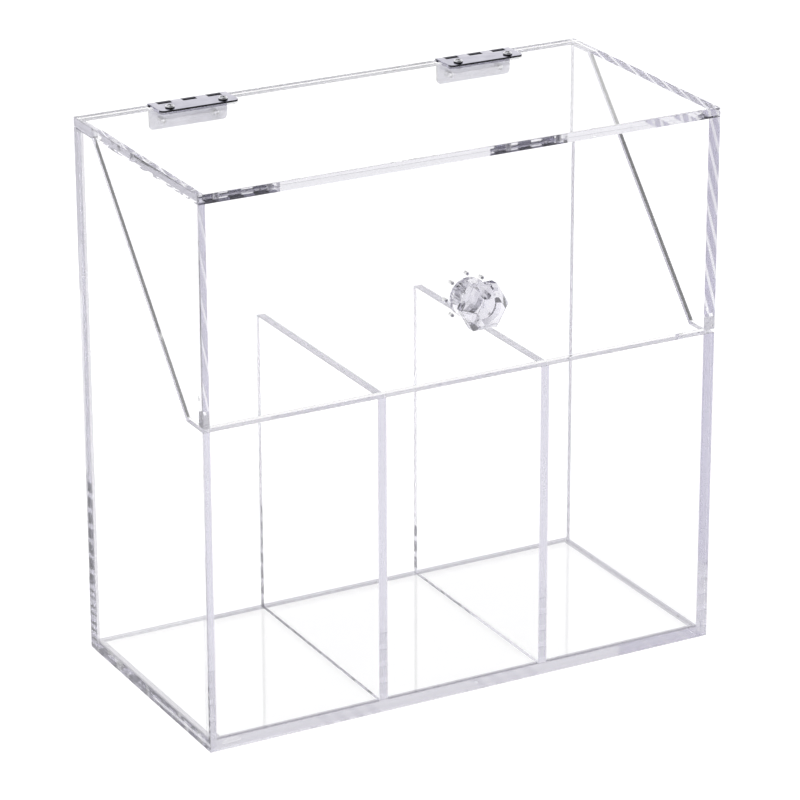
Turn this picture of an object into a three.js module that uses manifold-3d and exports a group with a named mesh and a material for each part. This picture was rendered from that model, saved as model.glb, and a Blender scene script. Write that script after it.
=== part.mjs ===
// A clear acrylic box with three open compartments and a flip-up lid, in millimetres.
// The origin is the centre of the underside. +X is the object's right as seen from the front,
// -Y is the front and +Z is up.
// The box is glued from sheet. Its lid takes the top, the upper front and a slanted corner of each
// side with it, and swings over the back on two small hinges screwed to the outside.

import * as THREE from 'three';
import { mergeVertices } from 'three/addons/utils/BufferGeometryUtils.js';
import { ConvexGeometry } from 'three/addons/geometries/ConvexGeometry.js';
import Module from 'manifold-3d';

const wasm = await Module();
wasm.setup();

// ---- Driving dimensions ----

const WIDTH = 300;
const DEPTH = 148;
const HEIGHT = 300;
const SHEET = 5;                     // thickness of every acrylic sheet

const LID_LINE = 178;                // height of the lid's lower edge
const SAW_KERF = 2;                  // gap that the saw left under the lid and along its cheeks
const LID_SEAT_GAP = 0.5;            // gap between the lid's top panel and the walls under it
const CUT_TOP_Y = 50;                // where the slanted cut meets the lid's top panel
const CUT_FOOT_Y = -55;              // where the slanted cut meets the lid's lower edge

const DIVIDER_X = 48;                // centre of each divider from the middle of the box

const HINGE_X = 85.5;                // centre of each hinge from the middle of the box
const LEAF_LENGTH = 45;
const LEAF_REACH = 16;               // leaf width, from the pin's axis to its free edge
const LEAF_THICKNESS = 1;
const LEAF_CORNER = 2.5;             // rounding of the leaf's free corners
const KNUCKLE_RADIUS = 2;
const KNUCKLE_BORE = 1.15;
const KNUCKLE_GAP = 0.3;             // side play between neighbouring knuckles
const NOTCH_COUNT = 3;
const NOTCH_WIDTH = 8;               // notch in the lid leaf that takes a back leaf knuckle
const NOTCH_PITCH = 14.4;
const NOTCH_REACH = 4;               // depth of the notches, from the pin's axis
const PIN_RADIUS = 0.85;
const PIN_HEAD_RADIUS = 1.5;
const PIN_HEAD_LENGTH = 0.5;
const SEAT_REACH = 3.4;              // depth of the barrel's seat in the lid, from the pin's axis
const SEAT_END_CLEARANCE = 0.6;      // room at each end of the barrel

const SCREW_SPREAD = 15.3;           // hinge screws from the hinge's middle
const SCREW_REACH = 11.2;            // hinge screws from the pin's axis
const SCREW_RADIUS = 1.25;
const SCREW_LENGTH = 4.6;            // below the head
const SCREW_HEAD_RADIUS = 2.5;
const SCREW_HEAD_HEIGHT = 1.6;
const SCREW_TIP_LENGTH = 0.5;        // chamfer at the end of a shank
const SCREW_TIP_SHARE = 0.7;         // radius of the tip, as a share of the shank's
const HEAD_RIM_SHARE = 0.45;         // straight rim of a head, as a share of its height
const HEAD_DOME_STEPS = 3;
const RECESS_REACH_SHARE = 0.6;      // arm of the cross recess, as a share of the head's radius
const RECESS_HALF_WIDTH_SHARE = 0.14;
const RECESS_FLOOR_SHARE = 0.4;      // height of the recess's floor, as a share of the head's
const FIT_GAP = 0.3;                 // gap round a shank, and under it in a blind hole

const KNOB_Z = 222;
const KNOB_FOOT_RADIUS = 10.7;
const KNOB_FOOT_LENGTH = 3.5;
const KNOB_NECK_RADIUS = 7.4;
const KNOB_NECK_END = 8;             // distance of the neck's front end from the panel
const KNOB_SIDES = 6;
const KNOB_SCREW_RADIUS = 2;
const KNOB_SCREW_DEPTH = 7;          // how far the screw runs into the knob
const KNOB_SCREW_HEAD_RADIUS = 4;
const KNOB_SCREW_HEAD_HEIGHT = 2.6;
const RING_RADIUS = 12.3;            // ring of small holes round the knob
const RING_HOLES = 8;
const RING_HOLE_RADIUS = 0.9;

// Rings of corners that the knob's flat facets span: distance from the panel, and radius.
const KNOB_RINGS = [
  [6.5, 7.4],
  [13, 13.7],
  [18, 13.7],
  [25, 8],
];

// ---- Derived levels ----

const BACK_Y = DEPTH / 2;
const FRONT_Y = -DEPTH / 2;
const WALL_TOP = HEIGHT - SHEET - LID_SEAT_GAP;
const SILL = LID_LINE - SAW_KERF;
const PIN_Y = BACK_Y + LEAF_THICKNESS - KNUCKLE_RADIUS;
const PIN_Z = HEIGHT + LEAF_THICKNESS - KNUCKLE_RADIUS;
const ROUND = 20;                    // segments of a small round
const CORNER_SEGMENTS = 6;           // segments of a rounded corner
const MERGE_DISTANCE = 1e-4;         // points closer than this are the same point
const OVERSHOOT = 1;                 // how far a cutting tool stands out past the face it cuts

// ---- Materials ----

const acrylic = () => new THREE.MeshStandardMaterial({ color: 0xe6e7f0, roughness: 0.05, metalness: 0 });
const crystal = () => new THREE.MeshStandardMaterial({ color: 0xdedde8, roughness: 0.03, metalness: 0 });
const plate = () => new THREE.MeshStandardMaterial({ color: 0xcfcdda, roughness: 0.25, metalness: 1 });
const steel = () => new THREE.MeshStandardMaterial({ color: 0xa8a8b0, roughness: 0.2, metalness: 1 });

// ---- Solids ----

// Turns a closed three.js geometry into a solid that can be cut and joined.
function solidOf(geometry) {
  const bare = geometry.clone();
  bare.deleteAttribute('normal');
  bare.deleteAttribute('uv');
  const merged = mergeVertices(bare, MERGE_DISTANCE);
  return new wasm.Manifold(new wasm.Mesh({
    numProp: 3,
    vertProperties: new Float32Array(merged.attributes.position.array),
    triVerts: new Uint32Array(merged.index.array),
  }));
}

// Turns a solid back into a geometry with flat-shaded normals.
function geometryOf(solid) {
  const { vertProperties, triVerts } = solid.getMesh();
  const geometry = new THREE.BufferGeometry();
  geometry.setAttribute('position', new THREE.BufferAttribute(new Float32Array(vertProperties), 3));
  geometry.setIndex(new THREE.BufferAttribute(new Uint32Array(triVerts), 1));
  geometry.computeVertexNormals();
  return geometry;
}

function cut(geometry, tools) {
  let solid = solidOf(geometry);
  for (const tool of tools) solid = solid.subtract(solidOf(tool));
  return geometryOf(solid);
}

function join(geometries) {
  let solid = solidOf(geometries[0]);
  for (const geometry of geometries.slice(1)) solid = solid.add(solidOf(geometry));
  return geometryOf(solid);
}

// ---- Shapes ----

// A box given by its lowest and highest corner.
function block([x0, y0, z0], [x1, y1, z1]) {
  const geometry = new THREE.BoxGeometry(x1 - x0, y1 - y0, z1 - z0);
  return geometry.translate((x0 + x1) / 2, (y0 + y1) / 2, (z0 + z1) / 2);
}

// Swaps the axes round, so that local X, Y and Z become world Y, Z and X.
const SIDEWAYS = new THREE.Matrix4().makeBasis(
  new THREE.Vector3(0, 1, 0),
  new THREE.Vector3(0, 0, 1),
  new THREE.Vector3(1, 0, 0),
);

// A sheet that lies in the YZ plane, from an outline of [y, z] points, between two X values.
function sidewaysSheet(outline, x0, x1) {
  const shape = new THREE.Shape(outline.map(([y, z]) => new THREE.Vector2(y, z)));
  const geometry = new THREE.ExtrudeGeometry(shape, { depth: x1 - x0, bevelEnabled: false });
  return geometry.applyMatrix4(SIDEWAYS).translate(x0, 0, 0);
}

// A cylinder along Y, centred on the origin's axis, between two Y values.
function rodY(radius, y0, y1) {
  const geometry = new THREE.CylinderGeometry(radius, radius, y1 - y0, ROUND);
  return geometry.translate(0, (y0 + y1) / 2, 0);
}

// The same cylinder along Z or along X.
const rodZ = (radius, z0, z1) => rodY(radius, z0, z1).applyMatrix4(SIDEWAYS);
const rodX = (radius, x0, x1) => rodZ(radius, x0, x1).applyMatrix4(SIDEWAYS);

// ---- Box body ----

// The side of the box under the saw cut: full height at the back, and sill height at the front.
// The walls stand on the ground, and the base is let in between them.
function sideOutline() {
  const slope = (CUT_TOP_Y - CUT_FOOT_Y) / (HEIGHT - SHEET - LID_LINE);
  const cutY = (z) => CUT_FOOT_Y + slope * (z - LID_LINE) + SAW_KERF;
  return [
    [FRONT_Y + SHEET, 0],
    [BACK_Y - SHEET, 0],
    [BACK_Y - SHEET, WALL_TOP],
    [cutY(WALL_TOP), WALL_TOP],
    [cutY(SILL), SILL],
    [FRONT_Y + SHEET, SILL],
  ];
}

// The part of the side that the lid carries.
function cheekOutline() {
  const top = HEIGHT - SHEET;
  return [
    [FRONT_Y + SHEET, LID_LINE],
    [CUT_FOOT_Y, LID_LINE],
    [CUT_TOP_Y, top],
    [FRONT_Y + SHEET, top],
  ];
}

function hingeScrewPlaces() {
  return [-HINGE_X, HINGE_X].flatMap((middle) => [middle - SCREW_SPREAD, middle + SCREW_SPREAD]);
}

const BLIND_DEPTH = SCREW_LENGTH - LEAF_THICKNESS + FIT_GAP;

function backPanel() {
  const sheet = block([-WIDTH / 2, BACK_Y - SHEET, 0], [WIDTH / 2, BACK_Y, WALL_TOP]);
  const hole = rodY(SCREW_RADIUS + FIT_GAP, BACK_Y - BLIND_DEPTH, BACK_Y + OVERSHOOT);
  const holes = hingeScrewPlaces().map((x) => hole.clone().translate(x, 0, PIN_Z - SCREW_REACH));
  return cut(sheet, holes);
}

// ---- Lid ----

function lidTopPanel() {
  const sheet = block([-WIDTH / 2, FRONT_Y, HEIGHT - SHEET], [WIDTH / 2, BACK_Y, HEIGHT]);
  const hole = rodZ(SCREW_RADIUS + FIT_GAP, HEIGHT - BLIND_DEPTH, HEIGHT + OVERSHOOT);
  const holes = hingeScrewPlaces().map((x) => hole.clone().translate(x, PIN_Y - SCREW_REACH, 0));
  const seatHalf = LEAF_LENGTH / 2 + PIN_HEAD_LENGTH + SEAT_END_CLEARANCE;
  const seats = [-HINGE_X, HINGE_X].map((x) => block(
    [x - seatHalf, PIN_Y - SEAT_REACH, HEIGHT - SHEET - OVERSHOOT],
    [x + seatHalf, BACK_Y + OVERSHOOT, HEIGHT + OVERSHOOT],
  ));
  return cut(sheet, [...holes, ...seats]);
}

function lidFrontPanel() {
  const sheet = block([-WIDTH / 2, FRONT_Y, LID_LINE], [WIDTH / 2, FRONT_Y + SHEET, HEIGHT - SHEET]);
  const through = (radius) => rodY(radius, FRONT_Y - OVERSHOOT, FRONT_Y + SHEET + OVERSHOOT);
  const holes = [through(KNOB_SCREW_RADIUS + FIT_GAP).translate(0, 0, KNOB_Z)];
  for (let i = 0; i < RING_HOLES; i++) {
    const angle = (2 * Math.PI * i) / RING_HOLES;
    const x = RING_RADIUS * Math.cos(angle);
    const z = KNOB_Z + RING_RADIUS * Math.sin(angle);
    holes.push(through(RING_HOLE_RADIUS).translate(x, 0, z));
  }
  return cut(sheet, holes);
}

// ---- Hinges ----
// A leaf is drawn lying flat: its barrel runs along X through the origin, its plate reaches towards
// -Y, and the plate's outer face is level with the top of the barrel.

const notchCentres = Array.from(
  { length: NOTCH_COUNT },
  (_, i) => (i - (NOTCH_COUNT - 1) / 2) * NOTCH_PITCH,
);

// The stretches of the barrel that belong to the lid leaf: what the notches leave over.
function lidKnuckles() {
  const edges = notchCentres.flatMap((x) => [x - NOTCH_WIDTH / 2, x + NOTCH_WIDTH / 2]);
  const ends = [-LEAF_LENGTH / 2, ...edges, LEAF_LENGTH / 2];
  const stretches = [];
  for (let i = 0; i < ends.length; i += 2) stretches.push([ends[i], ends[i + 1]]);
  return stretches;
}

function backKnuckles() {
  const half = NOTCH_WIDTH / 2 - KNUCKLE_GAP;
  return notchCentres.map((x) => [x - half, x + half]);
}

// The plate from the notches to the free edge, with its two free corners rounded.
function leafPlate() {
  const half = LEAF_LENGTH / 2;
  const shape = new THREE.Shape();
  shape.moveTo(-half, -NOTCH_REACH);
  shape.lineTo(-half, -LEAF_REACH + LEAF_CORNER);
  shape.absarc(-half + LEAF_CORNER, -LEAF_REACH + LEAF_CORNER, LEAF_CORNER, Math.PI, 1.5 * Math.PI);
  shape.lineTo(half - LEAF_CORNER, -LEAF_REACH);
  shape.absarc(half - LEAF_CORNER, -LEAF_REACH + LEAF_CORNER, LEAF_CORNER, 1.5 * Math.PI, 2 * Math.PI);
  shape.lineTo(half, -NOTCH_REACH);
  const geometry = new THREE.ExtrudeGeometry(shape, {
    depth: LEAF_THICKNESS,
    bevelEnabled: false,
    curveSegments: CORNER_SEGMENTS,
  });
  return geometry.translate(0, 0, KNUCKLE_RADIUS - LEAF_THICKNESS);
}

function leaf(knuckles) {
  const bottom = KNUCKLE_RADIUS - LEAF_THICKNESS;
  const parts = [leafPlate()];
  for (const [x0, x1] of knuckles) {
    parts.push(rodX(KNUCKLE_RADIUS, x0, x1));
    parts.push(block([x0, -NOTCH_REACH - OVERSHOOT, bottom], [x1, 0, KNUCKLE_RADIUS]));
  }
  const tools = [rodX(KNUCKLE_BORE, -LEAF_LENGTH / 2 - OVERSHOOT, LEAF_LENGTH / 2 + OVERSHOOT)];
  for (const x of [-SCREW_SPREAD, SCREW_SPREAD]) {
    tools.push(rodZ(SCREW_RADIUS + FIT_GAP, 0, KNUCKLE_RADIUS + OVERSHOOT).translate(x, -SCREW_REACH, 0));
  }
  return cut(join(parts), tools);
}

// Lays a leaf against the back wall: its plate hangs down and its outer face looks backwards.
const HANGING = new THREE.Matrix4().makeBasis(
  new THREE.Vector3(-1, 0, 0),
  new THREE.Vector3(0, 0, 1),
  new THREE.Vector3(0, 1, 0),
);

// The pin is a rod with a flat head at each end, turned about X.
function hingePin() {
  const end = LEAF_LENGTH / 2 + FIT_GAP;
  const tip = end + PIN_HEAD_LENGTH;
  const profile = [
    [0, -tip],
    [PIN_HEAD_RADIUS, -tip],
    [PIN_HEAD_RADIUS, -end],
    [PIN_RADIUS, -end],
    [PIN_RADIUS, end],
    [PIN_HEAD_RADIUS, end],
    [PIN_HEAD_RADIUS, tip],
    [0, tip],
  ];
  const geometry = turned(profile);
  return geometry.applyMatrix4(SIDEWAYS).applyMatrix4(SIDEWAYS);
}

// ---- Fasteners ----

// Turns a profile of [radius, y] points about the Y axis.
function turned(profile) {
  return new THREE.LatheGeometry(profile.map(([r, y]) => new THREE.Vector2(r, y)), ROUND);
}

// A pan-head screw along Y, with the underside of its head at Y = 0, its shank towards -Y and a
// cross recess in its domed top.
function panHeadScrew(radius, length, headRadius, headHeight) {
  const rim = HEAD_RIM_SHARE * headHeight;
  const profile = [
    [0, -length],
    [SCREW_TIP_SHARE * radius, -length],
    [radius, -length + SCREW_TIP_LENGTH],
    [radius, 0],
    [headRadius, 0],
    [headRadius, rim],
  ];
  for (let i = 1; i < HEAD_DOME_STEPS; i++) {
    const angle = ((i / HEAD_DOME_STEPS) * Math.PI) / 2;
    profile.push([headRadius * Math.cos(angle), rim + (headHeight - rim) * Math.sin(angle)]);
  }
  profile.push([0, headHeight]);
  const half = RECESS_HALF_WIDTH_SHARE * headRadius;
  const reach = RECESS_REACH_SHARE * headRadius;
  const floor = RECESS_FLOOR_SHARE * headHeight;
  const roof = headHeight + OVERSHOOT;
  return cut(turned(profile), [
    block([-reach, floor, -half], [reach, roof, half]),
    block([-half, floor, -reach], [half, roof, reach]),
  ]);
}

const hingeScrew = () => panHeadScrew(SCREW_RADIUS, SCREW_LENGTH, SCREW_HEAD_RADIUS, SCREW_HEAD_HEIGHT);

// ---- Knob ----

function knobCorners() {
  const points = [];
  for (const [distance, radius] of KNOB_RINGS) {
    for (let i = 0; i < KNOB_SIDES; i++) {
      const angle = (2 * Math.PI * i) / KNOB_SIDES;
      points.push(new THREE.Vector3(radius * Math.cos(angle), distance, radius * Math.sin(angle)));
    }
  }
  return points;
}

// The knob along Y: a round foot at Y = 0, a waist, and a head of flat facets, with a blind hole
// for its screw.
function knobSolid() {
  const foot = turned([
    [0, 0],
    [KNOB_FOOT_RADIUS, 0],
    [KNOB_FOOT_RADIUS, KNOB_FOOT_LENGTH],
    [KNOB_NECK_RADIUS, KNOB_NECK_END],
    [0, KNOB_NECK_END],
  ]);
  const head = new ConvexGeometry(knobCorners());
  const hole = rodY(KNOB_SCREW_RADIUS + FIT_GAP, -OVERSHOOT, KNOB_SCREW_DEPTH + FIT_GAP);
  return cut(join([foot, head]), [hole]);
}

// ---- Assembly ----

function mesh(name, geometry, material, x = 0, y = 0, z = 0) {
  const piece = new THREE.Mesh(geometry, material);
  piece.name = name;
  piece.position.set(x, y, z);
  return piece;
}

function box() {
  const group = new THREE.Group();
  const left = -WIDTH / 2;
  const right = WIDTH / 2;
  const base = block([left + SHEET, FRONT_Y + SHEET, 0], [right - SHEET, BACK_Y - SHEET, SHEET]);
  const front = block([left, FRONT_Y, 0], [right, FRONT_Y + SHEET, SILL]);
  const divider = block([-SHEET / 2, FRONT_Y + SHEET, SHEET], [SHEET / 2, BACK_Y - SHEET, SILL]);
  group.add(
    mesh('base_panel', base, acrylic()),
    mesh('back_panel', backPanel(), acrylic()),
    mesh('left_side_panel', sidewaysSheet(sideOutline(), left, left + SHEET), acrylic()),
    mesh('right_side_panel', sidewaysSheet(sideOutline(), right - SHEET, right), acrylic()),
    mesh('lower_front_panel', front, acrylic()),
    mesh('left_divider', divider, acrylic(), -DIVIDER_X),
    mesh('right_divider', divider.clone(), acrylic(), DIVIDER_X),
  );
  return group;
}

function lid() {
  const group = new THREE.Group();
  const left = -WIDTH / 2;
  const right = WIDTH / 2;
  group.add(
    mesh('lid_top_panel', lidTopPanel(), acrylic()),
    mesh('lid_front_panel', lidFrontPanel(), acrylic()),
    mesh('lid_left_cheek', sidewaysSheet(cheekOutline(), left, left + SHEET), acrylic()),
    mesh('lid_right_cheek', sidewaysSheet(cheekOutline(), right - SHEET, right), acrylic()),
  );
  const knob = mesh('knob', knobSolid(), crystal(), 0, FRONT_Y, KNOB_Z);
  knob.rotation.x = Math.PI;
  const screwLength = SHEET + KNOB_SCREW_DEPTH;
  const screw = panHeadScrew(
    KNOB_SCREW_RADIUS,
    screwLength,
    KNOB_SCREW_HEAD_RADIUS,
    KNOB_SCREW_HEAD_HEIGHT,
  );
  group.add(knob, mesh('knob_screw', screw, steel(), 0, FRONT_Y + SHEET, KNOB_Z));
  return group;
}

function hinge(side, x) {
  const group = new THREE.Group();
  group.position.set(x, 0, 0);
  group.add(
    mesh(`${side}_hinge_lid_leaf`, leaf(lidKnuckles()), plate(), 0, PIN_Y, PIN_Z),
    mesh(`${side}_hinge_back_leaf`, leaf(backKnuckles()).applyMatrix4(HANGING), plate(), 0, PIN_Y, PIN_Z),
    mesh(`${side}_hinge_pin`, hingePin(), steel(), 0, PIN_Y, PIN_Z),
  );
  [-SCREW_SPREAD, SCREW_SPREAD].forEach((offset, i) => {
    const upright = hingeScrew().applyMatrix4(SIDEWAYS);
    const lidScrew = mesh(`${side}_hinge_lid_screw_${i + 1}`, upright, steel());
    lidScrew.position.set(offset, PIN_Y - SCREW_REACH, PIN_Z + KNUCKLE_RADIUS);
    const backScrew = mesh(`${side}_hinge_back_screw_${i + 1}`, hingeScrew(), steel());
    backScrew.position.set(offset, PIN_Y + KNUCKLE_RADIUS, PIN_Z - SCREW_REACH);
    group.add(lidScrew, backScrew);
  });
  return group;
}

const object = new THREE.Group();
object.add(box(), lid(), hinge('left', -HINGE_X), hinge('right', HINGE_X));

export default object;
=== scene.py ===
"""A clear acrylic box with three compartments and a flip-up lid, on a white studio floor."""

import math

import bmesh
import bpy
from mathutils import Matrix, Vector


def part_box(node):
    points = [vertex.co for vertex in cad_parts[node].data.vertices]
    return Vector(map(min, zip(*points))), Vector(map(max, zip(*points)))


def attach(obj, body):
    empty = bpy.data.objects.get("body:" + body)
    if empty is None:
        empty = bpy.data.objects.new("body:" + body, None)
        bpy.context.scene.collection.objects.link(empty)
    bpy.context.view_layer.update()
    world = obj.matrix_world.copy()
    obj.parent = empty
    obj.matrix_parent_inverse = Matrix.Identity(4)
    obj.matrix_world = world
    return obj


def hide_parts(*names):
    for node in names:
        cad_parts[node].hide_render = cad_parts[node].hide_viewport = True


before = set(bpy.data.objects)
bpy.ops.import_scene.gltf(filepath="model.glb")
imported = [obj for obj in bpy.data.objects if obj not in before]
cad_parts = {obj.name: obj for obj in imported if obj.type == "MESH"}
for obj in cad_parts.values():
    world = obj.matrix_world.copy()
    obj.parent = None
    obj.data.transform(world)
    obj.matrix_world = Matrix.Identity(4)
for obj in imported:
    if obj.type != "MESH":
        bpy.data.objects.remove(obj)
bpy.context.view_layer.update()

MM = 0.001

# ---- Driving values ----

BOX_PANELS = (
    "base_panel",
    "back_panel",
    "left_side_panel",
    "right_side_panel",
    "lower_front_panel",
    "left_divider",
    "right_divider",
)
LID_PANELS = ("lid_top_panel", "lid_front_panel", "lid_left_cheek", "lid_right_cheek")

SHEET_INSET = 0.02 * MM  # half the hairline of cement between two sheets
SHEET_BEVEL = 0.12 * MM  # polished arris along every free sheet edge
SHARP_ANGLE = math.radians(30)
FLAT_ANGLE = math.radians(0.5)  # CAD facets within this angle are one flat face
WELD = 0.001 * MM  # CAD corners closer than this are one corner
SPLIT_REACH = 0.0001 * MM  # a corner this close to a dividing line is on it
TOUCH = 0.1 * MM  # sheets closer than this are cemented to each other

CLEAR = 0.0  # values of the "finish" attribute: a sheet's broad face,
POLISHED = 1.0  # a polished edge,
SAWN = 2.0  # the slanted saw cut
DRILLED = 3.0  # and the wall of a drilled hole
SQUARE = 0.999  # a face square to an axis has at least this much of its normal along it,
ALONG_AXIS = 0.9  # and a face that looks roughly along it has this much
SAW_LEAN = (0.5, 0.85)  # the slanted saw cut's normal has this much along Y, and along Z
SMALLEST_EDGE_FACE = 6 * MM * MM  # anything smaller is a facet of a drilled hole
DRILLED_ROUGHNESS = 0.35
SHEET_IOR = 1.49
ACRYLIC_TINT = (0.66, 0.65, 0.71, 1)
SHEET_DENSITY = 5.3
KNOB_DENSITY = 32.0
SAW_TONES = ((0.78, 0.77, 0.82, 1), (0.97, 0.96, 1.0, 1))

CEMENT_TONE = (0.3, 0.27, 0.45, 1)
CEMENT_OPACITY = 0.1
JOINT_OPACITY = {  # joints with more or less cement in them than the rest
    ("back_panel", "right_side_panel"): 0.28,
    ("back_panel", "base_panel"): 0.05,
    ("base_panel", "left_side_panel"): 0.1,
    ("base_panel", "lower_front_panel"): 0.05,
}
BASE_WALLS = ("back_panel", "left_side_panel", "right_side_panel", "lower_front_panel")
SHADE_FILM_ON_BASE = 3.5 * MM  # width of the darkened film, dried cement and painted shade, that spread over the base along its walls,
SHADE_FILM_ON_WALL = 1.1 * MM  # and up the walls,
SHADE_FILM_IN_CORNER = 3.4 * MM  # and over each side along the back panel
# the film's dark tones are partly dried cement and partly painted shade, standing in for the shade at
# the foot of the walls and in the back corners
SHADE_FILM_TONES = ((0.29, 0.28, 0.33, 1), (0.39, 0.38, 0.43, 1))

# Share of a joint that the cement missed, by the two sheets that meet in it.
MISSED_SHARE = {
    ("lid_left_cheek", "lid_top_panel"): 0.4,
    ("lid_right_cheek", "lid_top_panel"): 0.12,
    ("base_panel", "left_side_panel"): 0.35,
    ("base_panel", "right_side_panel"): 0.2,
    ("base_panel", "lower_front_panel"): 0.12,
    ("lid_front_panel", "lid_left_cheek"): 0.1,
    ("lid_front_panel", "lid_right_cheek"): 0.1,
}
BUBBLE_PLACE = (-136.5 * MM, -69 * MM, 2.7 * MM)  # an air bubble in the front joint of the base
BUBBLE_REACH = (5.4 * MM, 1 * MM, 1.9 * MM)
DRY_END = 8 * MM  # length left without cement at the foot of each cheek's front joint

KNOB_BEVEL = 0.3 * MM
KNOB_RIDGE_ANGLE = math.radians(12)
KNOB_FOOT_DEPTH = 8.5 * MM  # the knob's round foot keeps its crisp edges
LEAF_BEVEL = 0.4 * MM  # rounding of a hinge leaf's outer edges
LEAF_CORNER_ANGLE = math.radians(60)
LEAF_FLUSH = 0.01 * MM  # an edge this close to a leaf's outer face lies in it
LEAF_EDGE_LEAN = 0.2  # the sides of a plate have less of their normal than this across the plate
PLATE_THICKNESS = 1.02 * MM
BARREL_DIAMETER = 4.1 * MM
SHADED_BARREL_SHARE = 0.75  # the back leaf's knuckles get painted shade, as a share of the painted shade colour
SMALL_HOLE_EDGE = 1.2 * MM  # shorter edges belong to the screw holes and knuckles
SMOOTH_ANGLE = math.radians(35)
# near-black colour: the plates' sheared sides, darkened past their own colour as painted shade, and
# painted shade in the back knuckles, the screw recesses and the foot of the screw heads
PAINTED_SHADE_COLOUR = (0.03, 0.03, 0.036, 1)
PLATE_TONES = ((0.4, 0.39, 0.47, 1), (0.48, 0.47, 0.55, 1))
PLATE_ROUGHNESS = 0.08
STEEL_TONES = ((0.62, 0.62, 0.66, 1), (0.75, 0.75, 0.78, 1))
STEEL_ROUGHNESS = 0.06

SCREW_SEGMENTS = 64
SCREW_WELD = 0.0005 * MM
SCREWS = {"hinge": (1.6 * MM, 1.25 * MM), "knob": (2.6 * MM, 2.0 * MM)}  # head height, shank radius
THREAD_PITCH = 0.55 * MM
THREAD_DEPTH = 0.16 * MM
HEAD_RIM_SHARE = 0.4  # straight rim of a head, as a share of its height
HEAD_RINGS = 20
RECESS_REACH_SHARE = 0.62  # arm of the cross recess, as a share of the head's radius
RECESS_WIDTH_SHARE = 0.15
RECESS_DEPTH_SHARE = 0.45
RECESS_SOFT_SHARE = 0.06  # width of the recess's sloping sides
RECESS_FLOOR_SHARE = 0.2  # the recess lowers only the rings above this share of the head's height
RECESS_SHADE_DEPTH = 0.05  # painted shade begins at this share of the recess's depth
TIP_SHARE = 0.55  # radius of the screw's flat tip, as a share of the shank's
FIRST_TURN = 0.8  # where the thread starts above the tip, in pitches
HEAD_CHAMFER = 0.1 * MM

LONGEST_PATH = 120  # bounces of light that runs the whole length of a sheet between its faces
DIFFUSE_BOUNCES = 4

SKY_STRENGTH = 1.15
SKY_LEVELS = ((0.0, 1.0), (0.3, 1.0), (0.42, 0.9), (0.7, 0.7), (1.0, 0.7))
UNLIT_ROOM = (0.15, -0.62, 0.77)  # direction of the room's darkest part
UNLIT_INNER_ANGLE = 30
UNLIT_OUTER_ANGLE = 55
UNLIT_HEIGHTS = (0.16, 0.3)  # the dark part fades in between these heights above the horizon
UNLIT_TONE = (0.03, 0.03, 0.034, 1)
FLOOR_RADIUS = 30
FLOOR_SIDES = 96
FLOOR_GLOW = 0.95
FULL_GLOW_FLOOR_Y = -0.3  # the floor's painted glow, emission standing in for light, fades between these distances in front of the box
DIM_FLOOR_Y = -0.52
DIM_FLOOR_SHARE = 0.85

CAMERA_AZIMUTH = -28.36
CAMERA_ELEVATION = 21.26
CAMERA_ROLL = -0.18
CAMERA_DISTANCE = 2.11
CAMERA_AIM = (0.0007, 0.0, 0.1403)
CAMERA_LENS = 178.8
CAMERA_SENSOR = 36


# ---- Shader node helpers ----

class Shader:
    """A material's node tree, with short ways to add and join its nodes."""

    def __init__(self, name):
        self.material = bpy.data.materials.new(name)
        self.material.use_nodes = True
        self.tree = self.material.node_tree
        self.surface = self.tree.nodes["Principled BSDF"]
        self.output = self.tree.nodes["Material Output"]
        self.place = self.add("ShaderNodeTexCoord").outputs["Object"]

    def add(self, kind, **settings):
        node = self.tree.nodes.new(kind)
        for key, value in settings.items():
            setattr(node, key, value)
        return node

    def link(self, source, target):
        self.tree.links.new(source, target)

    def feed(self, node, name, value):
        """Links a socket, or sets a plain value, on the named input."""
        if isinstance(value, bpy.types.NodeSocket):
            self.link(value, node.inputs[name])
        else:
            node.inputs[name].default_value = value

    def set(self, **inputs):
        for name, value in inputs.items():
            self.feed(self.surface, name.replace("_", " "), value)

    def attribute(self, name):
        return self.add("ShaderNodeAttribute", attribute_name=name).outputs["Fac"]

    def stretched(self, scale):
        node = self.add("ShaderNodeMapping")
        self.link(self.place, node.inputs["Vector"])
        node.inputs["Scale"].default_value = scale
        return node.outputs["Vector"]

    def noise(self, scale, detail=3.0, roughness=0.5, vector=None):
        node = self.add("ShaderNodeTexNoise")
        self.link(vector or self.place, node.inputs["Vector"])
        node.inputs["Scale"].default_value = scale
        node.inputs["Detail"].default_value = detail
        node.inputs["Roughness"].default_value = roughness
        return node.outputs["Fac"]

    def remap(self, value, low, high, to_low=0.0, to_high=1.0):
        node = self.add("ShaderNodeMapRange")
        self.feed(node, "Value", value)
        node.inputs["From Min"].default_value = low
        node.inputs["From Max"].default_value = high
        node.inputs["To Min"].default_value = to_low
        node.inputs["To Max"].default_value = to_high
        return node.outputs["Result"]

    def math(self, operation, first, second):
        node = self.add("ShaderNodeMath", operation=operation)
        self.feed(node, 0, first)
        self.feed(node, 1, second)
        return node.outputs["Value"]

    def mix(self, factor, first, second):
        node = self.add("ShaderNodeMix", data_type="RGBA")
        self.feed(node, "Factor", factor)
        self.feed(node, 6, first)
        self.feed(node, 7, second)
        return node.outputs[2]

    def bump(self, height, distance, strength=1.0, normal=None):
        node = self.add("ShaderNodeBump")
        self.link(height, node.inputs["Height"])
        node.inputs["Distance"].default_value = distance
        node.inputs["Strength"].default_value = strength
        if normal is not None:
            self.link(normal, node.inputs["Normal"])
        return node.outputs["Normal"]


# ---- Materials ----

def absorbing(shader, density):
    """Gives a clear solid the faint tint that shows along a long path through it."""
    absorption = shader.add("ShaderNodeVolumeAbsorption")
    absorption.inputs["Color"].default_value = ACRYLIC_TINT
    absorption.inputs["Density"].default_value = density
    shader.link(absorption.outputs["Volume"], shader.output.inputs["Volume"])


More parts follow.
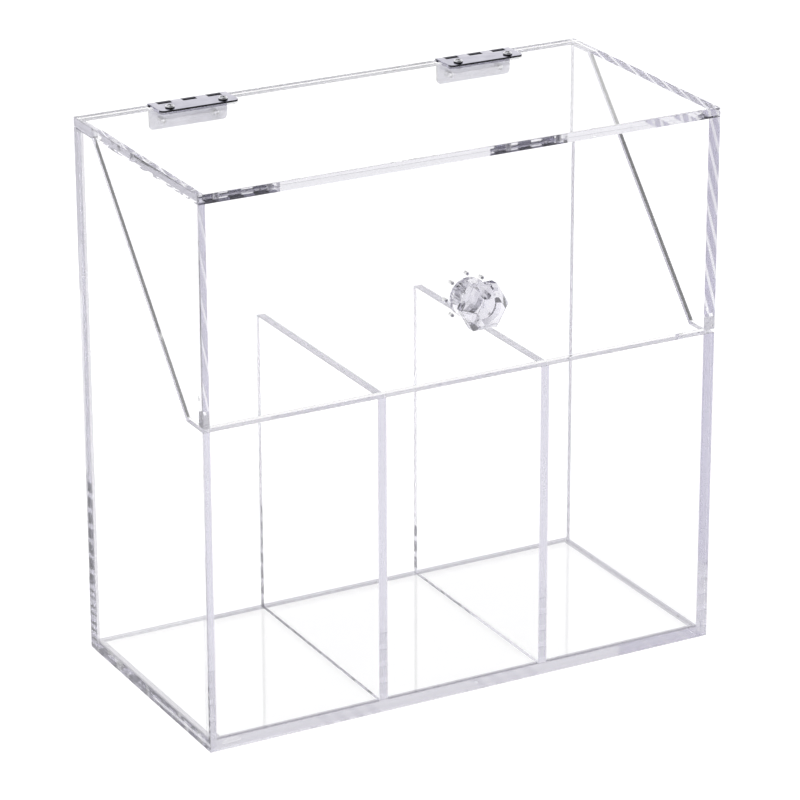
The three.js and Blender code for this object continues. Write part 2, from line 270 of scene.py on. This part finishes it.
def in_bubble(shader):
    """1 inside the air bubble in the base's front joint, and 0 elsewhere."""
    bubble = shader.add("ShaderNodeVectorMath", operation="SUBTRACT")
    shader.link(shader.place, bubble.inputs[0])
    bubble.inputs[1].default_value = BUBBLE_PLACE
    shape = shader.add("ShaderNodeVectorMath", operation="DIVIDE")
    shader.link(bubble.outputs["Vector"], shape.inputs[0])
    shape.inputs[1].default_value = BUBBLE_REACH
    reach = shader.add("ShaderNodeVectorMath", operation="LENGTH")
    shader.link(shape.outputs["Vector"], reach.inputs[0])
    return shader.math("LESS_THAN", reach.outputs["Value"], 1.0)


def bonded_places(shader, joint):
    """1 where a joint's cement reached, and 0 in its missed patches and off the joints."""
    blotches = shader.noise(110, 3, 0.5)
    level = shader.remap(shader.attribute("missed"), 0, 1, 0.75, 0.25)
    gap = shader.remap(shader.math("SUBTRACT", blotches, level), 0.0, 0.02)
    gap = shader.math("MAXIMUM", gap, in_bubble(shader))
    cemented = shader.math("GREATER_THAN", joint, 0.0)
    return shader.math("MULTIPLY", cemented, shader.remap(gap, 0, 1, 1.0, 0.0))


def sheet_roughness(shader, edge, sawn, drilled):
    """Faint smudges everywhere, duller edges and saw cuts, and matt hole walls."""
    smudges = shader.remap(shader.noise(14, 4, 0.6), 0.6, 0.85, 0.0, 0.012)
    edge_gloss = shader.remap(shader.noise(300, 2), 0.3, 0.7, 0.0, 0.05)
    saw_matt = shader.remap(shader.noise(420, 3), 0.3, 0.7, 0.02, 0.09)
    rough = shader.math("MULTIPLY", edge, edge_gloss)
    rough = shader.math("ADD", rough, smudges)
    rough = shader.math("ADD", rough, shader.math("MULTIPLY", sawn, saw_matt))
    return shader.math("ADD", rough, shader.math("MULTIPLY", drilled, DRILLED_ROUGHNESS))


def sheet_colour(shader, sawn, bonded):
    """Colourless, apart from saw cuts, the film of dried cement that is darkened as painted shade, and
    the cement in the joints.
    """
    saw_colour = shader.mix(shader.noise(260, 3), *SAW_TONES)
    shade_film_colour = shader.mix(shader.noise(180, 3), *SHADE_FILM_TONES)
    colour = shader.mix(sawn, (1, 1, 1, 1), saw_colour)
    # the film is painted shade along the foot of the walls and in the back corners, as well as dried
    # cement
    colour = shader.mix(shader.attribute("shade_film"), colour, shade_film_colour)
    return shader.mix(bonded, colour, CEMENT_TONE)


def acrylic_material():
    """Clear cast sheet: faint handling marks on its faces, fine lines on its polished edges, a
    slightly matt saw cut and matt drilled holes. Light crosses a cemented face nearly freely where
    it is bonded, and meets an air gap where the cement ran short. A film of dried cement, darkened as
    painted shade, lines the inside of the base's joints and of the two upright back corners."""
    shader = Shader("clear_acrylic_sheet")
    finish = shader.attribute("finish")
    edge = shader.remap(finish, CLEAR, POLISHED)
    sawn = shader.remap(finish, POLISHED, SAWN)
    drilled = shader.remap(finish, SAWN, DRILLED)
    joint = shader.attribute("joint")
    bonded = bonded_places(shader, joint)
    opened = shader.math("MULTIPLY", bonded, shader.remap(joint, 0, 1, 1.0, 0.0))
    lines = shader.noise(60, 3, 0.6, shader.stretched((14, 14, 1)))
    relief = shader.bump(shader.math("MULTIPLY", lines, edge), 0.00015 * MM)
    shader.set(
        Base_Color=sheet_colour(shader, sawn, bonded),
        Roughness=sheet_roughness(shader, edge, sawn, drilled),
        IOR=SHEET_IOR,
        Transmission_Weight=1.0,
        Alpha=shader.math("SUBTRACT", 1.0, opened),
        Normal=relief,
    )
    absorbing(shader, SHEET_DENSITY)
    return shader.material


def crystal_material():
    """The knob's clear moulding: glassy, with faint flow lines and a trace of wear."""
    shader = Shader("clear_moulded_acrylic")
    flow = shader.noise(90, 2, 0.5, shader.stretched((1, 3, 1)))
    wear = shader.remap(shader.noise(500, 3), 0.6, 0.8, 0.0, 0.05)
    shader.set(
        Base_Color=(0.985, 0.98, 1.0, 1),
        Roughness=wear,
        IOR=SHEET_IOR,
        Transmission_Weight=1.0,
        Normal=shader.bump(flow, 0.004 * MM, 0.5),
    )
    absorbing(shader, KNOB_DENSITY)
    return shader.material


def metal_material(name, low, high, roughness, grain):
    """Bright plated steel with rolling grain, cloudy tone and scattered fine pits, and near-black
    painted shade on sheared edges, the back knuckles, screw recesses and the foot of screw heads."""
    shader = Shader(name)
    sheared_and_shaded = shader.attribute("sheared_and_shaded")
    clouds = shader.noise(160, 4, 0.6)
    streaks = shader.noise(900, 3, 0.6, shader.stretched(grain))
    pits = shader.remap(shader.noise(2600, 2), 0.62, 0.75)
    colour = shader.mix(shader.remap(clouds, 0.35, 0.65), low, high)
    colour = shader.mix(pits, colour, tuple(0.8 * channel for channel in low[:3]) + (1,))
    # painted shade, near-black, wherever the sheared_and_shaded attribute is set
    colour = shader.mix(sheared_and_shaded, colour, PAINTED_SHADE_COLOUR)
    rough = shader.remap(streaks, 0.25, 0.75, roughness - 0.03, roughness + 0.04)
    relief = shader.bump(streaks, 0.001 * MM, 0.5)
    relief = shader.bump(pits, 0.003 * MM, 0.4, relief)
    shader.set(Base_Color=colour, Metallic=1.0, Roughness=rough, Normal=relief)
    return shader.material


def floor_material():
    """Seamless white studio paper that glows by itself as painted light, fully under and behind the box
    and fading towards the front.
    """
    shader = Shader("white_paper")
    fibres = shader.noise(400, 3)
    tone = shader.mix(fibres, (0.36, 0.36, 0.365, 1), (0.4, 0.4, 0.4, 1))
    split = shader.add("ShaderNodeSeparateXYZ")
    shader.link(shader.place, split.inputs["Vector"])
    dim_glow = FLOOR_GLOW * DIM_FLOOR_SHARE
    glow = shader.remap(split.outputs["Y"], DIM_FLOOR_Y, FULL_GLOW_FLOOR_Y, dim_glow, FLOOR_GLOW)
    shader.set(
        Base_Color=tone,
        Roughness=0.85,
        Specular_IOR_Level=0.1,
        Emission_Color=(1, 1, 1, 1),
        Emission_Strength=glow,
    )
    return shader.material


# ---- Shapes ----

def mesh_of(node):
    """The CAD solid's own shape, with each flat face in one piece."""
    mesh = bmesh.new()
    mesh.from_mesh(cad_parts[node].data)
    bmesh.ops.remove_doubles(mesh, verts=mesh.verts, dist=WELD)
    bmesh.ops.dissolve_limit(mesh, angle_limit=FLAT_ANGLE, verts=mesh.verts, edges=mesh.edges)
    return mesh


def shade_smooth(mesh):
    """Shades a mesh smooth across its blunt edges, and leaves its sharp ones crisp."""
    mesh.normal_update()
    for face in mesh.faces:
        face.smooth = True
    for edge in mesh.edges:
        edge.smooth = edge.calc_face_angle(0) < SMOOTH_ANGLE


def round_edges(mesh, edges, width, segments):
    bmesh.ops.bevel(mesh, geom=edges, offset=width, segments=segments, profile=0.5, affect="EDGES",
                    clamp_overlap=True)


def finished_piece(mesh, name, body, material, nodes):
    """Turns a bmesh into a named piece that rides on a body and stands for CAD nodes."""
    data = bpy.data.meshes.new(name)
    mesh.to_mesh(data)
    mesh.free()
    piece = bpy.data.objects.new(name, data)
    bpy.context.scene.collection.objects.link(piece)
    data.materials.append(material)
    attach(piece, body)
    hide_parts(*nodes)


# ---- Sheets ----

def family(node):
    return BOX_PANELS if node in BOX_PANELS else LID_PANELS


def neighbours(node):
    """The sheets of the same body whose boxes touch this one's."""
    low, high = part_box(node)
    found = []
    for other in family(node):
        other_low, other_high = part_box(other)
        if other != node and all(
            low[i] <= other_high[i] + TOUCH and other_low[i] <= high[i] + TOUCH for i in range(3)
        ):
            found.append(other)
    return found


def is_square(face):
    """Whether a face looks straight along one of the axes."""
    return max(abs(part) for part in face.normal) > SQUARE


def sheet_met_by(face, near):
    """The neighbour that a flat face is cemented to, or None."""
    if not is_square(face):
        return None
    probe = face.calc_center_median() + face.normal * 2 * TOUCH
    for other in near:
        low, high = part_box(other)
        if all(low[i] <= probe[i] <= high[i] for i in range(3)):
            return other
    return None


def missed_share(face, node, other):
    pair = tuple(sorted((node, other)))
    share = MISSED_SHARE.get(pair, 0.0)
    if pair[0] == "lid_front_panel":
        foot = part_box(pair[1])[0].z
        if face.calc_center_median().z < foot + DRY_END:
            share = 1.0
    return share


def finish_of(face, thin_axis):
    normal = face.normal
    if abs(normal[thin_axis]) > ALONG_AXIS:
        return CLEAR
    if face.calc_area() < SMALLEST_EDGE_FACE and not is_square(face):
        return DRILLED
    if all(SAW_LEAN[0] < abs(part) < SAW_LEAN[1] for part in (normal.y, normal.z)):
        return SAWN
    return POLISHED


def shade_film_cuts(node):
    """The axis and level of each line where the film of cement, darkened as painted shade, ends on a
    sheet.
    """
    low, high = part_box("base_panel")
    if node == "base_panel":
        return [(i, level) for i in (0, 1) for level in (low[i] + SHADE_FILM_ON_BASE, high[i] - SHADE_FILM_ON_BASE)]
    cuts = []
    if node in BASE_WALLS:
        cuts.append((2, high.z + SHADE_FILM_ON_WALL))
    if node.endswith("side_panel"):
        cuts.append((1, high.y - SHADE_FILM_IN_CORNER))
    return cuts


# Whether a face carries the film of cement that is darkened as painted shade.
def has_shade_film(face, node):
    low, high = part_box("base_panel")
    centre = face.calc_center_median()
    if node == "base_panel":
        bare = all(low[i] + SHADE_FILM_ON_BASE < centre[i] < high[i] - SHADE_FILM_ON_BASE for i in (0, 1))
        return face.normal.z > ALONG_AXIS and not bare
    inside = all(low[i] - TOUCH < centre[i] < high[i] + TOUCH for i in (0, 1))
    if node not in BASE_WALLS or not inside or centre.z < high.z:
        return False
    in_corner = node.endswith("side_panel") and centre.y > high.y - SHADE_FILM_IN_CORNER
    return in_corner or centre.z < high.z + SHADE_FILM_ON_WALL


def split_at_joints(mesh, node, near):
    """Cuts a sheet's faces along the outlines of the sheets that meet it, so that each joint gets
    faces of its own."""
    low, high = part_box(node)
    cuts = shade_film_cuts(node)
    for other in near:
        other_low, other_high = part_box(other)
        cuts += [(axis, level[axis]) for axis in range(3) for level in (other_low, other_high)]
        if node == "lid_front_panel" and other.endswith("cheek"):
            cuts.append((2, other_low.z + DRY_END))
    for axis, level in cuts:
        if low[axis] + TOUCH < level < high[axis] - TOUCH:
            normal = [float(axis == i) for i in range(3)]
            parts = mesh.verts[:] + mesh.edges[:] + mesh.faces[:]
            point = [level * part for part in normal]
            bmesh.ops.bisect_plane(mesh, geom=parts, dist=SPLIT_REACH, plane_co=point, plane_no=normal)


def inset_faces(mesh, distance):
    """Moves every face of a closed mesh inwards by the same distance."""
    mesh.normal_update()
    moves = [(vert, vert.normal * vert.calc_shell_factor() * distance) for vert in mesh.verts]
    for vert, move in moves:
        vert.co -= move


def free_edges(mesh, near, thin_axis):
    """The sharp edges of a sheet, without those of its joints and drilled holes."""
    kept = {
        face for face in mesh.faces
        if sheet_met_by(face, near) or finish_of(face, thin_axis) == DRILLED
    }
    return [
        edge for edge in mesh.edges
        if edge.calc_face_angle(0) > SHARP_ANGLE and not kept.intersection(edge.link_faces)
    ]


def mark_cement(mesh, node, near):
    """Notes on each face the joint it belongs to and the film of cement, darkened as painted shade, that
    it carries.
    """
    joint = mesh.faces.layers.float.new("joint")
    missed = mesh.faces.layers.float.new("missed")
    shade_film = mesh.faces.layers.float.new("shade_film")
    for face in mesh.faces:
        face[shade_film] = has_shade_film(face, node)
        other = sheet_met_by(face, near)
        if other:
            face[joint] = JOINT_OPACITY.get(tuple(sorted((node, other))), CEMENT_OPACITY)
            face[missed] = missed_share(face, node, other)


def sheet_piece(node, body, material):
    """A sheet drawn round the CAD solid's own shape, with its free arrises eased."""
    low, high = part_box(node)
    size = high - low
    thin_axis = min(range(3), key=lambda i: size[i])
    near = neighbours(node)
    mesh = mesh_of(node)
    split_at_joints(mesh, node, near)
    inset_faces(mesh, SHEET_INSET)
    mesh.normal_update()
    free = free_edges(mesh, near, thin_axis)
    finish = mesh.faces.layers.float.new("finish")
    for face in mesh.faces:
        face[finish] = finish_of(face, thin_axis)
    bmesh.ops.bevel(mesh, geom=free, offset=SHEET_BEVEL, segments=2, profile=0.5, affect="EDGES")
    mesh.normal_update()
    mark_cement(mesh, node, near)
    finished_piece(mesh, node + "_sheet", body, material, [node])


# ---- Knob, hinges and screws ----

def knob_piece(material):
    """The knob with its facets' edges softened, as a polished moulding has them."""
    mesh = mesh_of("knob")
    mesh.normal_update()
    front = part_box("lid_front_panel")[0].y
    ridges = [
        edge for edge in mesh.edges
        if edge.calc_face_angle(0) > KNOB_RIDGE_ANGLE
        and max(vert.co.y for vert in edge.verts) < front - KNOB_FOOT_DEPTH
    ]
    round_edges(mesh, ridges, KNOB_BEVEL, 2)
    finished_piece(mesh, "knob_body", "lid", material, ["knob"])


def leaf_piece(node, body, material):
    """A hinge leaf, with the edges of its outer face rounded by the press, and its sheared sides and the
    back leaf's knuckles painted dark as shade.
    """
    mesh = mesh_of(node)
    mesh.normal_update()
    low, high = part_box(node)
    thin = 2 if node.endswith("lid_leaf") else 1
    outer = high[thin]
    edges = [
        edge for edge in mesh.edges
        if all(abs(vert.co[thin] - outer) < LEAF_FLUSH for vert in edge.verts)
        and edge.calc_length() > SMALL_HOLE_EDGE
        and edge.calc_face_angle(0) > LEAF_CORNER_ANGLE
    ]
    sheared_and_shaded = mesh.faces.layers.float.new("sheared_and_shaded")
    for face in mesh.faces:
        centre = face.calc_center_median()
        in_plate = centre[thin] > outer - PLATE_THICKNESS
        # the plate's sheared sides are painted near-black as shade, and the back leaf's knuckles are
        # partly so
        face[sheared_and_shaded] = in_plate and abs(face.normal[thin]) < LEAF_EDGE_LEAN
        if thin == 1 and centre.z > high.z - BARREL_DIAMETER:
            face[sheared_and_shaded] = SHADED_BARREL_SHARE
    round_edges(mesh, edges, LEAF_BEVEL, 4)
    shade_smooth(mesh)
    finished_piece(mesh, node + "_plate", body, material, [node])


def pin_piece(node, body, material):
    mesh = mesh_of(node)
    shade_smooth(mesh)
    finished_piece(mesh, node + "_rod", body, material, [node])


def recess_depth(x, y, head_radius):
    """How deep the cross recess is at a point of the head, from 0 to 1."""
    width = RECESS_WIDTH_SHARE * head_radius
    reach = RECESS_REACH_SHARE * head_radius
    soft = RECESS_SOFT_SHARE * head_radius
    near, far = sorted((abs(x), abs(y)))
    across = min(max((width - near) / soft, 0), 1)
    along = min(max((reach - far) / soft, 0), 1)
    return across * along


def screw_profile(length, shank_radius, head_radius, head_height):
    """Radius and height of each ring, from the tip up to the middle of the head."""
    rings = [(0.0, -length), (TIP_SHARE * shank_radius, -length)]
    turns = int((length - 2 * THREAD_PITCH) / THREAD_PITCH)
    for i in range(turns):
        start = -length + THREAD_PITCH * (i + FIRST_TURN)
        rings.append((shank_radius - THREAD_DEPTH, start))
        rings.append((shank_radius, start + 0.5 * THREAD_PITCH))
    rings.append((shank_radius - THREAD_DEPTH, 0.0))
    rings.append((head_radius - HEAD_CHAMFER, 0.0))
    rings.append((head_radius, HEAD_CHAMFER))
    rim = HEAD_RIM_SHARE * head_height
    for i in range(HEAD_RINGS + 1):
        angle = math.radians(90) * i / HEAD_RINGS
        rings.append((head_radius * math.cos(angle), rim + (head_height - rim) * math.sin(angle)))
    return rings


def paint_recess_shade(mesh, head_radius, head_height):
    """Marks painted shade on the steep sides of the cross recess and on the foot of the head's rim,
    where the head is painted near-black."""
    mesh.normal_update()
    sheared_and_shaded = mesh.faces.layers.float.new("sheared_and_shaded")
    for face in mesh.faces:
        centre = face.calc_center_median()
        on_rim = 0 < centre.z < HEAD_RIM_SHARE * head_height
        in_recess = recess_depth(centre.x, centre.y, head_radius) > RECESS_SHADE_DEPTH and centre.z > 0
        face[sheared_and_shaded] = on_rim or in_recess


def screw_mesh(length, shank_radius, head_radius, head_height):
    """A screw standing on its tip, with the seat of its head at the origin."""
    mesh = bmesh.new()
    rings = []
    for radius, height in screw_profile(length, shank_radius, head_radius, head_height):
        ring = []
        for i in range(SCREW_SEGMENTS):
            angle = 2 * math.pi * i / SCREW_SEGMENTS
            x, y = radius * math.cos(angle), radius * math.sin(angle)
            drop = 0.0
            if height > RECESS_FLOOR_SHARE * head_height:
                drop = RECESS_DEPTH_SHARE * head_height * recess_depth(x, y, head_radius)
            ring.append(mesh.verts.new((x, y, height - drop)))
        rings.append(ring)
    for lower, upper in zip(rings, rings[1:]):
        for i in range(SCREW_SEGMENTS):
            j = (i + 1) % SCREW_SEGMENTS
            mesh.faces.new((lower[i], lower[j], upper[j], upper[i]))
    bmesh.ops.remove_doubles(mesh, verts=mesh.verts, dist=SCREW_WELD)
    return mesh


def screw_piece(node, body, material):
    """A pan-head screw with a rolled thread and a cross recess, along its CAD solid's axis."""
    low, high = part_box(node)
    size = high - low
    axis = 2 if "lid_screw" in node else 1
    head_height, shank_radius = SCREWS["knob" if node == "knob_screw" else "hinge"]
    head_radius = size.x / 2
    mesh = screw_mesh(size[axis] - head_height, shank_radius, head_radius, head_height)
    paint_recess_shade(mesh, head_radius, head_height)
    if axis == 1:
        bmesh.ops.rotate(mesh, verts=mesh.verts, matrix=Matrix.Rotation(math.radians(-90), 3, "X"))
    seat = (low + high) / 2
    seat[axis] = high[axis] - head_height
    bmesh.ops.translate(mesh, verts=mesh.verts, vec=seat)
    shade_smooth(mesh)
    finished_piece(mesh, node + "_threaded", body, material, [node])


# ---- Studio ----

def make_floor():
    bpy.ops.mesh.primitive_circle_add(vertices=FLOOR_SIDES, radius=FLOOR_RADIUS, fill_type="NGON")
    floor = bpy.context.object
    floor.name = "studio_floor"
    floor.data.materials.append(floor_material())


def make_world():
    """A white sweep round the horizon, a greyer ceiling, and an unlit part of the room high in
    front."""
    world = bpy.data.worlds.new("studio")
    bpy.context.scene.world = world
    world.use_nodes = True
    tree = world.node_tree
    direction = tree.nodes.new("ShaderNodeTexCoord").outputs["Generated"]

    split = tree.nodes.new("ShaderNodeSeparateXYZ")
    tree.links.new(direction, split.inputs["Vector"])
    ramp = tree.nodes.new("ShaderNodeValToRGB")
    tree.links.new(split.outputs["Z"], ramp.inputs["Fac"])
    elements = ramp.color_ramp.elements
    while len(elements) < len(SKY_LEVELS):
        elements.new(0.5)
    for element, (height, level) in zip(elements, SKY_LEVELS):
        element.position = height
        element.color = (level, level, level, 1)

    facing = tree.nodes.new("ShaderNodeVectorMath")
    facing.operation = "DOT_PRODUCT"
    tree.links.new(direction, facing.inputs[0])
    facing.inputs[1].default_value = Vector(UNLIT_ROOM).normalized()
    unlit = tree.nodes.new("ShaderNodeMapRange")
    unlit.interpolation_type = "SMOOTHSTEP"
    tree.links.new(facing.outputs["Value"], unlit.inputs["Value"])
    unlit.inputs["From Min"].default_value = math.cos(math.radians(UNLIT_OUTER_ANGLE))
    unlit.inputs["From Max"].default_value = math.cos(math.radians(UNLIT_INNER_ANGLE))

    above = tree.nodes.new("ShaderNodeMapRange")
    above.interpolation_type = "SMOOTHSTEP"
    tree.links.new(split.outputs["Z"], above.inputs["Value"])
    above.inputs["From Min"].default_value = UNLIT_HEIGHTS[0]
    above.inputs["From Max"].default_value = UNLIT_HEIGHTS[1]

    cap = tree.nodes.new("ShaderNodeMath")
    cap.operation = "MULTIPLY"
    tree.links.new(unlit.outputs["Result"], cap.inputs[0])
    tree.links.new(above.outputs["Result"], cap.inputs[1])

    tone = tree.nodes.new("ShaderNodeMix")
    tone.data_type = "RGBA"
    tree.links.new(cap.outputs["Value"], tone.inputs["Factor"])
    tree.links.new(ramp.outputs["Color"], tone.inputs[6])
    tone.inputs[7].default_value = UNLIT_TONE

    background = tree.nodes["Background"]
    tree.links.new(tone.outputs[2], background.inputs["Color"])
    background.inputs["Strength"].default_value = SKY_STRENGTH


def make_camera():
    azimuth = math.radians(CAMERA_AZIMUTH)
    elevation = math.radians(CAMERA_ELEVATION)
    roll = math.radians(CAMERA_ROLL)
    back = Vector((
        math.sin(azimuth) * math.cos(elevation),
        -math.cos(azimuth) * math.cos(elevation),
        math.sin(elevation),
    ))
    right = Vector((math.cos(azimuth), math.sin(azimuth), 0))
    up = back.cross(right)
    level_view = Matrix((right, up, back)).transposed()
    data = bpy.data.cameras.new("studio_camera")
    data.lens = CAMERA_LENS
    data.sensor_width = CAMERA_SENSOR
    camera = bpy.data.objects.new("studio_camera", data)
    bpy.context.scene.collection.objects.link(camera)
    view = level_view @ Matrix.Rotation(roll, 3, "Z")
    camera.matrix_world = Matrix.Translation(Vector(CAMERA_AIM) + back * CAMERA_DISTANCE) @ view.to_4x4()
    bpy.context.scene.camera = camera


def set_light_paths():
    """Lets light cross all the sheets in a row, and keeps tones as they are lit."""
    scene = bpy.context.scene
    scene.view_settings.view_transform = "Standard"
    scene.cycles.max_bounces = LONGEST_PATH
    scene.cycles.transmission_bounces = LONGEST_PATH
    scene.cycles.glossy_bounces = LONGEST_PATH
    scene.cycles.transparent_max_bounces = LONGEST_PATH
    scene.cycles.diffuse_bounces = DIFFUSE_BOUNCES


# ---- Assembly ----

def build():
    acrylic = acrylic_material()
    for node in BOX_PANELS:
        sheet_piece(node, "box", acrylic)
    for node in LID_PANELS:
        sheet_piece(node, "lid", acrylic)

    plate = metal_material("hinge_plate", *PLATE_TONES, PLATE_ROUGHNESS, (1, 12, 12))
    steel = metal_material("bright_steel", *STEEL_TONES, STEEL_ROUGHNESS, (1, 1, 4))
    knob_piece(crystal_material())
    screw_piece("knob_screw", "lid", steel)
    for side in ("left", "right"):
        for body, part in (("lid", "lid"), ("box", "back")):
            leaf_piece(f"{side}_hinge_{part}_leaf", body, plate)
            for number in (1, 2):
                screw_piece(f"{side}_hinge_{part}_screw_{number}", body, steel)
        pin_piece(f"{side}_hinge_pin", "box", steel)


build()
make_floor()
make_world()
make_camera()
set_light_paths()
